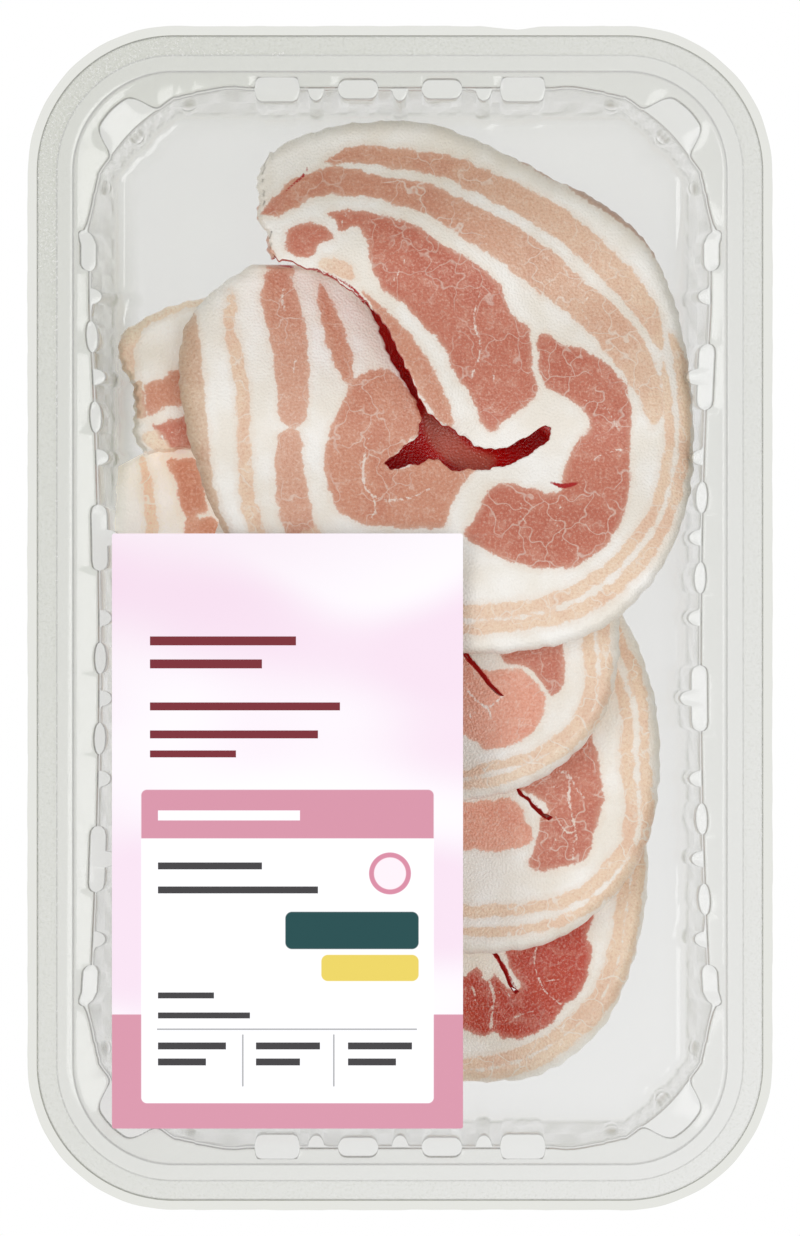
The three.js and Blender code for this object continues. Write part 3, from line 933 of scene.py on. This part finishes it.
tissueTwo = {
    "bands": [
        ("tan", "peach", 1.4, [(540, 470, 7), (580, 530, 8), (600, 590, 8), (605, 640, 7), (607, 672, 7),
            (603, 700, 6.5), (592, 722, 6), (570, 745, 6.5), (535, 767, 6), (500, 780, 6), (463, 786, 5),
            (400, 788, 6), (330, 776, 6), (265, 745, 6), (232, 690, 6), (226, 640, 6), (228, 570, 6), (240, 510, 6)]),
        ("tan", "tan", 1.4, [(360, 325, 6), (440, 350, 7), (500, 410, 7), (545, 480, 7), (575, 560, 7), (587, 620, 7),
            (590, 650, 7), (592, 680, 7), (589, 702, 8), (580, 722, 8), (560, 741, 7), (528, 758, 6), (487, 768, 5.5),
            (463, 774, 5), (400, 770, 6), (330, 756, 6), (280, 722, 7), (252, 680, 8), (246, 620, 8), (250, 560, 8)]),
        ("peach", "peach", 0.0, [(198, 297, 4), (174, 302, 7), (152, 311, 8), (134, 322, 9), (124, 343, 9.5),
            (126, 362, 8), (131, 376, 4)]),
        ("wall", "wall", 0.0, [(136, 383, 6), (138, 400, 6), (139, 415, 4)]),
        ("peach", "tan", 0.0, [(150, 436, 9), (158, 444, 8), (170, 449, 4)]),
        ("pink", "pink", 0.3, [(300, 330, 8), (380, 345, 9), (440, 390, 12), (490, 450, 14), (530, 540, 14),
            (545, 600, 12)]),
        ("pale", "pale", 0.3, [(300, 380, 14), (360, 400, 14), (420, 450, 16), (470, 520, 18), (505, 600, 18)]),
        ("pink", "pale", 0.4, [(300, 560, 14), (300, 640, 20), (340, 700, 24), (400, 730, 20), (450, 725, 16)]),
    ],
    "blocks": [
        ("pink", 0.25, [(143, 381), (158, 377), (172, 367), (200, 362), (230, 372), (230, 392), (200, 398),
            (180, 403), (160, 408), (145, 414)]),
        ("rose", 0.25, [(149, 424), (168, 417), (186, 411), (215, 405), (250, 430), (240, 450), (200, 446),
            (166, 449), (160, 436)]),
        ("rose", 0.5, [(500, 600), (540, 600), (563, 620), (565, 655), (565, 678), (560, 693), (551, 697), (541, 682),
            (527, 668), (503, 662), (498, 640)]),
        ("light", 0.5, [(440, 640), (463, 655), (485, 668), (503, 668), (523, 670), (535, 680), (547, 697),
            (545, 712), (539, 728), (525, 740), (503, 749), (484, 750), (475, 743), (466, 737), (440, 735),
            (420, 700)]),
    ],
    "seams": [
        (1.6, [(484, 659), (503, 665), (524, 667), (536, 677), (551, 697)]),
        (1.3, [(468, 691), (479, 702), (488, 707), (503, 696)]),
        (0.9, [(469, 710), (473, 727), (474, 741)]),
        (0.9, [(488, 707), (492, 718)]),
        (0.8, [(160, 440), (170, 431), (184, 425)]),
        (1.2, [(141, 381), (143, 398), (144, 413)]),
    ],
    "slits": [
        [(461, 650, 1), (469, 659, 2.6), (482, 673, 2.2), (494, 687, 1.2), (503, 694, 0.3)],
    ],
    "pools": [
        [(340, 270), (372, 290), (400, 335), (432, 395), (462, 425), (500, 432), (560, 410), (575, 430), (545, 465),
            (490, 480), (420, 482), (375, 480), (380, 455), (405, 430), (395, 400), (372, 350)],
    ],
    "patches": [
        [(426, 406), (438, 416), (455, 430), (472, 446), (497, 456), (488, 472), (462, 470), (440, 454), (428, 440),
            (423, 424)],
    ],
}
tissueThree = {
    "bands": [
        ("tan", "tan", 1.4, [(560, 530, 7), (605, 600, 7), (624, 648, 6), (634, 665, 8), (638, 682, 8),
            (644, 705, 6.5), (646, 730, 5.5), (647, 760, 6.5), (648, 790, 7), (650, 812, 8), (649, 832, 7),
            (641, 855, 7), (627, 876, 6.5), (608, 895, 6), (587, 911, 6), (563, 923, 6), (530, 930, 6), (491, 934, 6),
            (463, 932, 5), (400, 930, 6), (300, 905, 6), (215, 860, 6), (155, 790, 7), (132, 690, 7), (130, 600, 7),
            (150, 530, 7), (147, 501, 6.5), (144, 474, 5.5), (140, 458, 3.5)]),
        ("tan", "tan", 1.4, [(612, 655, 3), (618, 680, 5), (625, 700, 7), (629, 722, 7), (628, 750, 7),
            (630, 780, 7.5), (632, 800, 6.5), (632, 822, 7.5), (629, 845, 7.5), (617, 862, 8), (600, 882, 7.5),
            (574, 899, 7), (548, 906, 6.5), (520, 911, 6.5), (488, 913, 7), (463, 913, 7), (400, 908, 8),
            (310, 880, 8), (240, 835, 9), (190, 770, 9), (165, 690, 9), (160, 610, 9), (175, 560, 6)]),
        ("rose", "pink", 0.4, [(240, 470, 12), (320, 490, 16), (400, 540, 20), (470, 600, 24), (530, 670, 28)]),
        ("pink", "pink", 0.4, [(215, 620, 14), (225, 700, 18), (260, 780, 20), (330, 830, 20), (400, 850, 16)]),
    ],
    "blocks": [
        ("pink", 0.2, [(162, 456), (176, 455), (197, 457), (201, 480), (206, 505), (198, 512), (187, 519), (181, 516),
            (175, 500), (171, 474)]),
        ("pink", 0.2, [(182, 525), (198, 517), (208, 513), (222, 530), (230, 580), (205, 600), (190, 560)]),
        ("rose", 0.8, [(560, 690), (585, 715), (594, 738), (599, 752), (603, 776), (606, 799), (602, 817), (596, 836),
            (594, 850), (585, 863), (562, 871), (542, 874), (529, 867), (531, 856), (536, 844), (538, 829),
            (540, 818), (548, 813), (545, 803), (524, 794), (500, 780), (500, 740), (520, 700)]),
        ("light", 0.3, [(430, 800), (465, 803), (495, 799), (512, 799), (522, 808), (527, 820), (535, 831),
            (532, 844), (518, 850), (500, 854), (465, 852), (430, 850)]),
    ],
    "seams": [
        (1.3, [(557, 772), (568, 774), (571, 785), (570, 801), (574, 818), (578, 840)]),
        (0.9, [(571, 777), (578, 789), (586, 799)]),
        (1.0, [(557, 818), (563, 828), (570, 834), (578, 832)]),
        (0.8, [(552, 787), (562, 789), (570, 787)]),
        (0.9, [(575, 842), (574, 858), (573, 868)]),
        (0.8, [(545, 856), (552, 850), (556, 840)]),
    ],
    "slits": [
        [(516, 787, 0.2), (528, 797, 0.5), (538, 807, 0.8), (546, 816, 0.5), (550, 820, 0.1)],
    ],
}
tissueFour = {
    "bands": [
        ("tan", "peach", 1.4, [(560, 700, 6), (620, 780, 6), (640, 850, 7), (641, 880, 8), (637, 905, 8),
            (633, 935, 8), (628, 965, 7.5), (617, 992, 7.5), (600, 1016, 7), (577, 1038, 7), (548, 1059, 7),
            (515, 1074, 7), (480, 1081, 6), (463, 1081, 6), (400, 1075, 6), (300, 1042, 6), (220, 990, 7),
            (178, 900, 7), (172, 820, 7), (190, 720, 7)]),
        ("tan", "tan", 1.4, [(600, 800, 5), (624, 860, 5), (628, 890, 5), (622, 910, 6.5), (621, 932, 6.5),
            (616, 955, 7), (608, 980, 7), (595, 1004, 7), (574, 1026, 7), (548, 1045, 7), (520, 1058, 7),
            (490, 1066, 7), (463, 1068, 7), (400, 1058, 7), (310, 1020, 8), (245, 970, 9), (208, 900, 10),
            (205, 830, 10), (230, 730, 10)]),
        ("rose", "rose", 0.5, [(260, 660, 12), (340, 670, 18), (430, 720, 24), (500, 790, 28), (540, 870, 28)]),
        ("rose", "rose", 0.5, [(262, 840, 16), (285, 920, 18), (340, 970, 20), (420, 1005, 20)]),
    ],
    "blocks": [
        ("deep", 0.2, [(505, 900), (560, 880), (590, 900), (596, 922), (590, 934), (593, 953), (592, 973), (586, 989),
            (577, 1002), (566, 1011), (557, 1024), (541, 1036), (524, 1044), (505, 1043), (495, 1037), (488, 1041),
            (477, 1039), (466, 1033), (440, 1028), (440, 990), (465, 977), (478, 971), (488, 983), (495, 976),
            (505, 985), (512, 993), (522, 990), (512, 975), (506, 960)]),
    ],
    "seams": [
        (1.1, [(539, 948), (535, 962), (541, 984), (548, 996), (560, 1006), (566, 1012)]),
        (1.4, [(490, 984), (495, 1000), (493, 1014), (492, 1040)]),
        (0.9, [(473, 989), (476, 1004), (468, 1013)]),
        (0.7, [(516, 1021), (528, 1016), (541, 1014)]),
        (0.8, [(548, 985), (556, 983), (565, 987)]),
        (0.7, [(498, 998), (506, 994), (511, 1000)]),
    ],
    "slits": [
        [(489, 950, 0.6), (498, 961, 1.6), (505, 971, 2.4), (511, 982, 1.6), (519, 994, 0.2)],
    ],
}

# slope: how wide the fat side slopes down at each station (mm); torn: how deep the upper end is torn, from its fat
# to its lean side (mm); and last, the painted glow at each x (mm): how strongly the slice glows, to lift the shade
# that the label and the slices above cast on it
sliceShapes = [
    {"name": "pork_slice_1", "stations": stationsOne, "tissue": tissueOne, "tucks": True,
     "slope": [(0, 2.6), (4, 2.6), (5, 3.4), (7, 3.4), (9, 2.0), (16, 2.0), (18, 5.5), (22, 6.6), (25, 4)],
     "torn": [(0, 2.2), (0.12, 0.6), (0.25, 0), (0.4, 0.5), (0.55, -0.2), (0.66, 0.2), (0.72, 1.8), (0.9, 1.6),
              (1, 2.4)],
     "painted_glow": [(0, 0)]},
    {"name": "pork_slice_2", "stations": stationsTwo, "tissue": tissueTwo, "tucks": False,
     "slope": [(0, 3.4), (2, 3.2), (4, 2.6), (18, 2.6)],
     "torn": [(0, 1), (0.13, 0), (0.27, 0.3), (0.41, 2), (0.65, 1.3), (0.85, 0.2), (1, 1.8)],
     "painted_glow": [(-46, 0.13), (-34, 0)]},
    {"name": "pork_slice_3", "stations": stationsThree, "tissue": tissueThree, "tucks": False,
     "slope": [(0, 2.6), (19, 2.6)],
     "torn": [(0, 1), (0.3, 0), (0.7, 0.6), (1, 1.4)],
     "painted_glow": [(-56, 0.33), (-38, 0.27), (-20, 0.05)]},
    {"name": "pork_slice_4", "stations": stationsFour, "tissue": tissueFour, "tucks": False,
     "slope": [(0, 2.6), (17, 2.6)],
     "torn": [(0, 1), (0.3, 0), (0.7, 0.6), (1, 1.4)],
     "painted_glow": [(0, 0.05)]},
]


def smoothStep(value, low, high):
    share = np.clip((value - low) / (high - low), 0, 1)
    return share * share * (3 - 2 * share)


def heldUp(y, farEnd):
    # how far a slice below carries the one above: fully up to its far end, then draping to the base
    bend = farEnd + slices["restGap"]
    return 1 - smoothStep(y, bend, bend + slices["drapeLength"])


def undersideHeight(index, y):
    height = np.full_like(y, slices["base"])
    for below in sliceShapes[index + 1:]:
        farEnd = max(station[1] for station in below["stations"])
        height += (slices["thickness"] + slices["restGap"]) * heldUp(y, farEnd)
    return height


def sliceSection():
    # once round the strip: (fat side, flat or lean side, share across, share of height)
    rows = []
    for angle in np.linspace(-90, 90, slices["aroundSide"])[:-1]:
        rows.append(("fat", math.cos(math.radians(angle)), 0.5 + 0.5 * math.sin(math.radians(angle))))
    for share in np.linspace(0, 1, slices["acrossTop"])[:-1]:
        rows.append(("flat", share, 1.0))
    for angle in np.linspace(90, -90, slices["aroundSide"])[:-1]:
        rows.append(("lean", math.cos(math.radians(angle)), 0.5 + 0.5 * math.sin(math.radians(angle))))
    for share in np.linspace(1, 0, slices["acrossUnder"])[:-1]:
        rows.append(("flat", share, 0.0))
    return rows


def ripple(spots, waves):
    # a soft relief from a few crossing waves: (size mm, pace x, pace y, phase)
    return sum(size * np.sin(spots[..., 0] * paceX + spots[..., 1] * paceY + phase)
               for size, paceX, paceY, phase in waves)


edgeWaves = [(0.22, 1.1, 0.9, 0.3), (0.18, -0.8, 1.7, 1.9), (0.12, 2.6, -2.1, 0.8), (0.08, 3.9, 3.1, 2.5)]
topWaves = [(0.18, 0.21, 0.13, 0.4), (0.14, -0.17, 0.33, 2.2), (0.07, 0.62, -0.5, 1.1), (0.04, 1.3, 1.1, 0.2)]


def closeSlit(lean, way, runs):
    # draws the lean side's two halves together until only a fine slit is left
    for _ in range(slices["slitPasses"]):
        gaps = lean[None] - lean[:, None]
        distance = np.linalg.norm(gaps, axis=2)
        ahead = np.einsum("ijk,ik->ij", gaps, way)
        ahead[(ahead < slices["facing"] * distance) | (np.abs(runs[:, None] - runs[None]) < 2)] = 1e9
        nearest = ahead.min(axis=1)
        short = np.clip(nearest - slices["slitWidth"], 0, slices["slitPull"]) / 2
        short *= smoothStep(nearest, *slices["slitFades"])
        for _ in range(slices["slitSoftening"]):
            short[1:-1] = np.minimum(short[1:-1], (short[:-2] + 2 * short[1:-1] + short[2:]) / 4)
        lean = lean + way * short[:, None]
    return lean


def makeSlice(index, material):
    shape = sliceShapes[index]
    stations = np.array(shape["stations"], float)
    steps = slices["stepsPerStation"]
    fat = smoothLine(stations[:, :2], steps)
    lean = smoothLine(stations[:, 2:], steps)
    marks = np.arange(len(fat)) / steps
    # extra columns at the ends for the round of the cut
    middle = (fat + lean) / 2
    run = np.concatenate([[0], np.cumsum(np.linalg.norm(np.diff(middle, axis=0), axis=1))])
    extra = np.array(slices["endColumns"])
    runs = np.unique(np.concatenate([run, extra, run[-1] - extra]))
    along = np.interp(runs, run, marks)
    fat = np.column_stack([np.interp(along, marks, fat[:, axis]) for axis in (0, 1)])
    lean = np.column_stack([np.interp(along, marks, lean[:, axis]) for axis in (0, 1)])
    across = lean - fat
    width = np.linalg.norm(across, axis=1)[:, None]
    way = across / width
    fat = fat + way * (slices["fatInset"] + ripple(fat, edgeWaves))[:, None] * 0.6
    lean = lean - way * (slices["leanInset"] + ripple(lean, edgeWaves))[:, None]
    if not shape["tucks"]:
        lean = closeSlit(lean, way, runs)
    heading = np.gradient((fat + lean) / 2, axis=0)
    heading /= np.linalg.norm(heading, axis=1)[:, None]
    slope = np.interp(along, *zip(*shape["slope"]))[:, None]
    fromEnd = np.minimum(runs, runs[-1] - runs)
    plump = np.sqrt(np.clip(1 - (1 - np.clip(fromEnd / slices["endRound"], 0, 1)) ** 2, 0, 1))
    plump = slices["flatEnd"] + (1 - slices["flatEnd"]) * plump
    tornShares, tornDepths = zip(*shape["torn"])
    leanRound = slices["leanRound"]
    rings = []
    for kind, share, height in sliceSection():
        width = np.linalg.norm(lean - fat, axis=1)[:, None]
        if kind == "fat":
            spots = fat + way * slope * (1 - share)
        elif kind == "lean":
            spots = lean - way * leanRound * (1 - share)
            if not shape["tucks"]:
                # the two sides of the slit press together below
                spots = spots + way * 0.4 * (1 - smoothStep(height, 0.45, 0.85)) * share
        else:
            spots = fat + way * (slope + (width - slope - leanRound) * share)
        part = np.clip(np.sum((spots - fat) * way, axis=1) / width[:, 0], 0, 1)
        tear = np.interp(part, tornShares, tornDepths) + 0.25 * np.sin(part * 60)
        spots = spots + heading * (tear * np.clip(1 - runs / slices["tearReach"], 0, 1))[:, None]
        under = undersideHeight(index, spots[:, 1])
        over = 0.0
        if shape["tucks"]:
            over = 1 - smoothStep(along, *slices["tuckStations"])
            under = under + over * heldUp(spots[:, 1], stations[-1, 1]) * (slices["thickness"] + slices["restGap"])
        top = under + slices["thickness"] + ripple(spots, topWaves) * 0.7 - 0.25
        under = under - slices["sag"] * (1 - over) * (under > slices["base"] + 0.5)
        centre = (under + top) / 2
        z = centre + (height - 0.5) * (top - under) * plump
        rings.append(np.column_stack([spots, z]))
    rings = np.array(rings).transpose(1, 0, 2)
    inWall = np.array([kind == "lean" and height < 0.98 for kind, share, height in sliceSection()], float)
    bm = sheetOfRings(rings, {"hole_wall": np.tile(inWall, (len(rings), 1))})
    fillEnds(bm)
    # the cut ends are wavy, so each is parted into short triangles that follow the wave
    ends = [face for face in bm.faces if len(face.verts) > manySided]
    bmesh.ops.triangulate(bm, faces=ends, quad_method="BEAUTY", ngon_method="BEAUTY")
    piece = finishPiece(bm, shape["name"] + "_meat", shape["name"], [material])
    paintTissue(piece, shape["tissue"])
    # painted glow: how strongly each part glows, to lift the shade cast on it by the label and the slices above
    store(piece, "painted_glow", np.interp(meshSpots(piece)[:, 0], *zip(*shape["painted_glow"])))


def awayFromLine(spots, line):
    # distance to the nearest edge of a line with widths, and the share along it there, for every spot
    best = np.full(len(spots), 1e9)
    shareAt = np.zeros(len(spots))
    count = len(line) - 1
    for index in range(count):
        start, end = line[index], line[index + 1]
        step = end[:2] - start[:2]
        t = np.clip(((spots - start[:2]) @ step) / max(step @ step, 1e-9), 0, 1)
        width = start[2] + (end[2] - start[2]) * t
        away = np.linalg.norm(spots - start[:2] - t[:, None] * step, axis=1) - width
        nearer = away < best
        best = np.where(nearer, away, best)
        shareAt = np.where(nearer, (index + t) / count, shareAt)
    return best, shareAt


def insideOutline(spots, outline):
    # signed distance to a closed outline, positive inside
    best = np.full(len(spots), 1e9)
    inside = np.zeros(len(spots), bool)
    for start, end in zip(outline, np.roll(outline, -1, axis=0)):
        step = end - start
        t = np.clip(((spots - start) @ step) / max(step @ step, 1e-9), 0, 1)
        best = np.minimum(best, np.linalg.norm(spots - start - t[:, None] * step, axis=1))
        crosses = (start[1] > spots[:, 1]) != (end[1] > spots[:, 1])
        with np.errstate(divide="ignore", invalid="ignore"):
            reach = start[0] + (spots[:, 1] - start[1]) * step[0] / step[1]
        inside ^= crosses & (spots[:, 0] < reach)
    return np.where(inside, best, -best)


def closedLine(outline, stepsEach):
    points = np.array(outline, float)
    looped = np.vstack([points[-2:], points, points[:3]])
    return smoothLine(looped, stepsEach)[2 * stepsEach:(len(points) + 2) * stepsEach]


def deepest(spots, layers):
    return np.maximum.reduce([np.full(len(spots), -1e3), *layers])


def paintTissue(piece, tissue):
    spots = toDrawing(meshSpots(piece)[:, :2])
    unit = drawing["mmPerUnit"]
    edge = np.full(len(spots), -1e3)
    colour = np.tile(muscleTints["tan"], (len(spots), 1))
    cell = np.zeros(len(spots))
    for firstTint, lastTint, cellLines, path in tissue["bands"]:
        away, share = awayFromLine(spots, smoothLine(path, 3))
        deeper = -away > edge
        edge = np.where(deeper, -away, edge)
        first, last = np.array(muscleTints[firstTint]), np.array(muscleTints[lastTint])
        colour = np.where(deeper[:, None], first + (last - first) * share[:, None], colour)
        cell = np.where(deeper, cellLines, cell)
    for name, cellLines, outline in tissue["blocks"]:
        inner = insideOutline(spots, closedLine(outline, 3))
        deeper = inner > edge
        edge = np.where(deeper, inner, edge)
        colour = np.where(deeper[:, None], np.array(muscleTints[name]), colour)
        cell = np.where(deeper, cellLines, cell)
    seams = [smoothLine([(x, y, half) for x, y in path], 3) for half, path in tissue["seams"]]
    seam = deepest(spots, [-awayFromLine(spots, line)[0] for line in seams])
    slit = deepest(spots, [-awayFromLine(spots, smoothLine(path, 3))[0] for path in tissue["slits"]])
    walls = np.empty(len(spots), np.float32)
    piece.data.attributes["hole_wall"].data.foreach_get("value", walls)
    wet = slit > -7
    for outline in tissue.get("wetWalls", ()):
        wet |= insideOutline(spots, np.array(outline, float)) > 0
    slit = np.where((walls > 0.5) & wet, 5, slit)
    store(piece, "lean_edge", edge * unit)
    store(piece, "lean_tint", colour)
    store(piece, "cell_lines", cell)
    store(piece, "seam", np.maximum(seam * unit, -5))
    store(piece, "slit", np.maximum(slit * unit, -5))
    for name, key in (("pool", "pools"), ("patch", "patches")):
        inner = deepest(spots, [insideOutline(spots, closedLine(outline, 3)) for outline in tissue.get(key, ())])
        store(piece, name, np.maximum(inner * unit, -9))


def rawPorkFinish():
    finish = Finish("raw_pork")
    spots = finish.places()
    broad = finish.noise(spots, 0.08, 2.0)
    lumps = finish.noise(spots, 0.35, 2.0)
    fine = finish.noise(spots, 1.7, 2.0, 0.7)
    edge = finish.attribute("lean_edge") + (lumps - 0.5) * 1.6 + (fine - 0.5) * 0.9
    lean = finish.rise(edge, -0.05, 0.4)
    # thin pale lines between cells of muscle, broken up so that they don't close
    bent = finish.shifted(spots, 0.4, 3.4)
    lines = (1 - finish.rise(finish.cells(bent, 0.17), 0.005, 0.045)) * finish.rise(broad, 0.36, 0.52)
    hairs = (1 - finish.rise(finish.cells(bent, 0.5), 0.0, 0.06)) * finish.rise(lumps, 0.5, 0.66) * 0.5
    marbling = (lines + hairs).atMost(1.0) * finish.attribute("cell_lines")
    seam = finish.rise(finish.attribute("seam") + (lumps - 0.5) * 0.5 + (fine - 0.5) * 0.6, -0.06, 0.2)
    # the lean: darker and lighter drifts, pale grains that are partly painted glints of its wet surface, paler
    # towards its edges
    meat = finish.mix(finish.rise(broad, 0.42, 0.66) * 0.45, finish.attribute("lean_tint", "Color"),
                      (0.86, 0.66, 0.62), "MULTIPLY")
    meat = finish.mix(finish.rise(lumps, 0.5, 0.7) * 0.35, meat, (0.3, 0.2, 0.15), "SCREEN")
    # fine pale specks: the meat's grain and painted glints
    meat = finish.mix(finish.rise(fine, 0.52, 0.72) * 0.5, meat, (0.42, 0.34, 0.28), "SCREEN")
    meat = finish.mix(finish.rise(fine, 0.48, 0.3) * 0.45, meat, (0.78, 0.6, 0.55), "MULTIPLY")
    soft = 1 - finish.rise(edge, 0.1, 1.4)
    meat = finish.mix(soft * 0.25, meat, tint(236, 204, 180))
    fat = finish.mix(finish.rise(broad, 0.3, 0.7), tint(253, 249, 242), tint(244, 236, 223))
    fat = finish.mix(finish.rise(edge, -1.4, 0.0) * 0.3, fat, tint(234, 210, 188))
    fat = finish.mix(finish.rise(fine, 0.55, 0.8) * 0.2, fat, tint(226, 211, 194))
    line = (marbling * 0.6 + seam * 0.75).atMost(0.9)
    colour = finish.mix(lean * (1 - line), fat, meat)
    slit = finish.rise(finish.attribute("slit") + (fine - 0.5) * 0.5, -0.12, 0.15)
    pool = finish.attribute("pool")
    wet = finish.rise(pool + (lumps - 0.5) * 1.5, -0.6, 0.4)
    patch = finish.rise(finish.attribute("patch"), -0.8, 1.2)
    colour = finish.mix(wet, colour, finish.mix(patch, tint(206, 8, 6), tint(206, 108, 88)))
    colour = finish.mix(slit, colour, muscleTints["blood"])
    rough = 0.42 - lean * 0.1 - wet * 0.12
    bump = finish.bump(finish.noise(spots, 2.2, 0.0), 0.00025, 0.5)
    # painted glow: the wet red deep in the slits and the parts shaded by the label and the slices above glow a
    # little, to lift their shade
    paintedGlow = finish.mix(finish.attribute("painted_glow"), (0, 0, 0), colour)
    paintedGlow = finish.mix(slit, paintedGlow, tint(92, 13, 11))
    material = finish.surface({"Base Color": colour, "Roughness": rough, "Normal": bump,
                               "Emission Color": paintedGlow, "Emission Strength": 1.0})
    material.cycles.emission_sampling = "NONE"
    return material


porkMaterial = rawPorkFinish()
for number in range(len(sliceShapes)):
    makeSlice(number, porkMaterial)
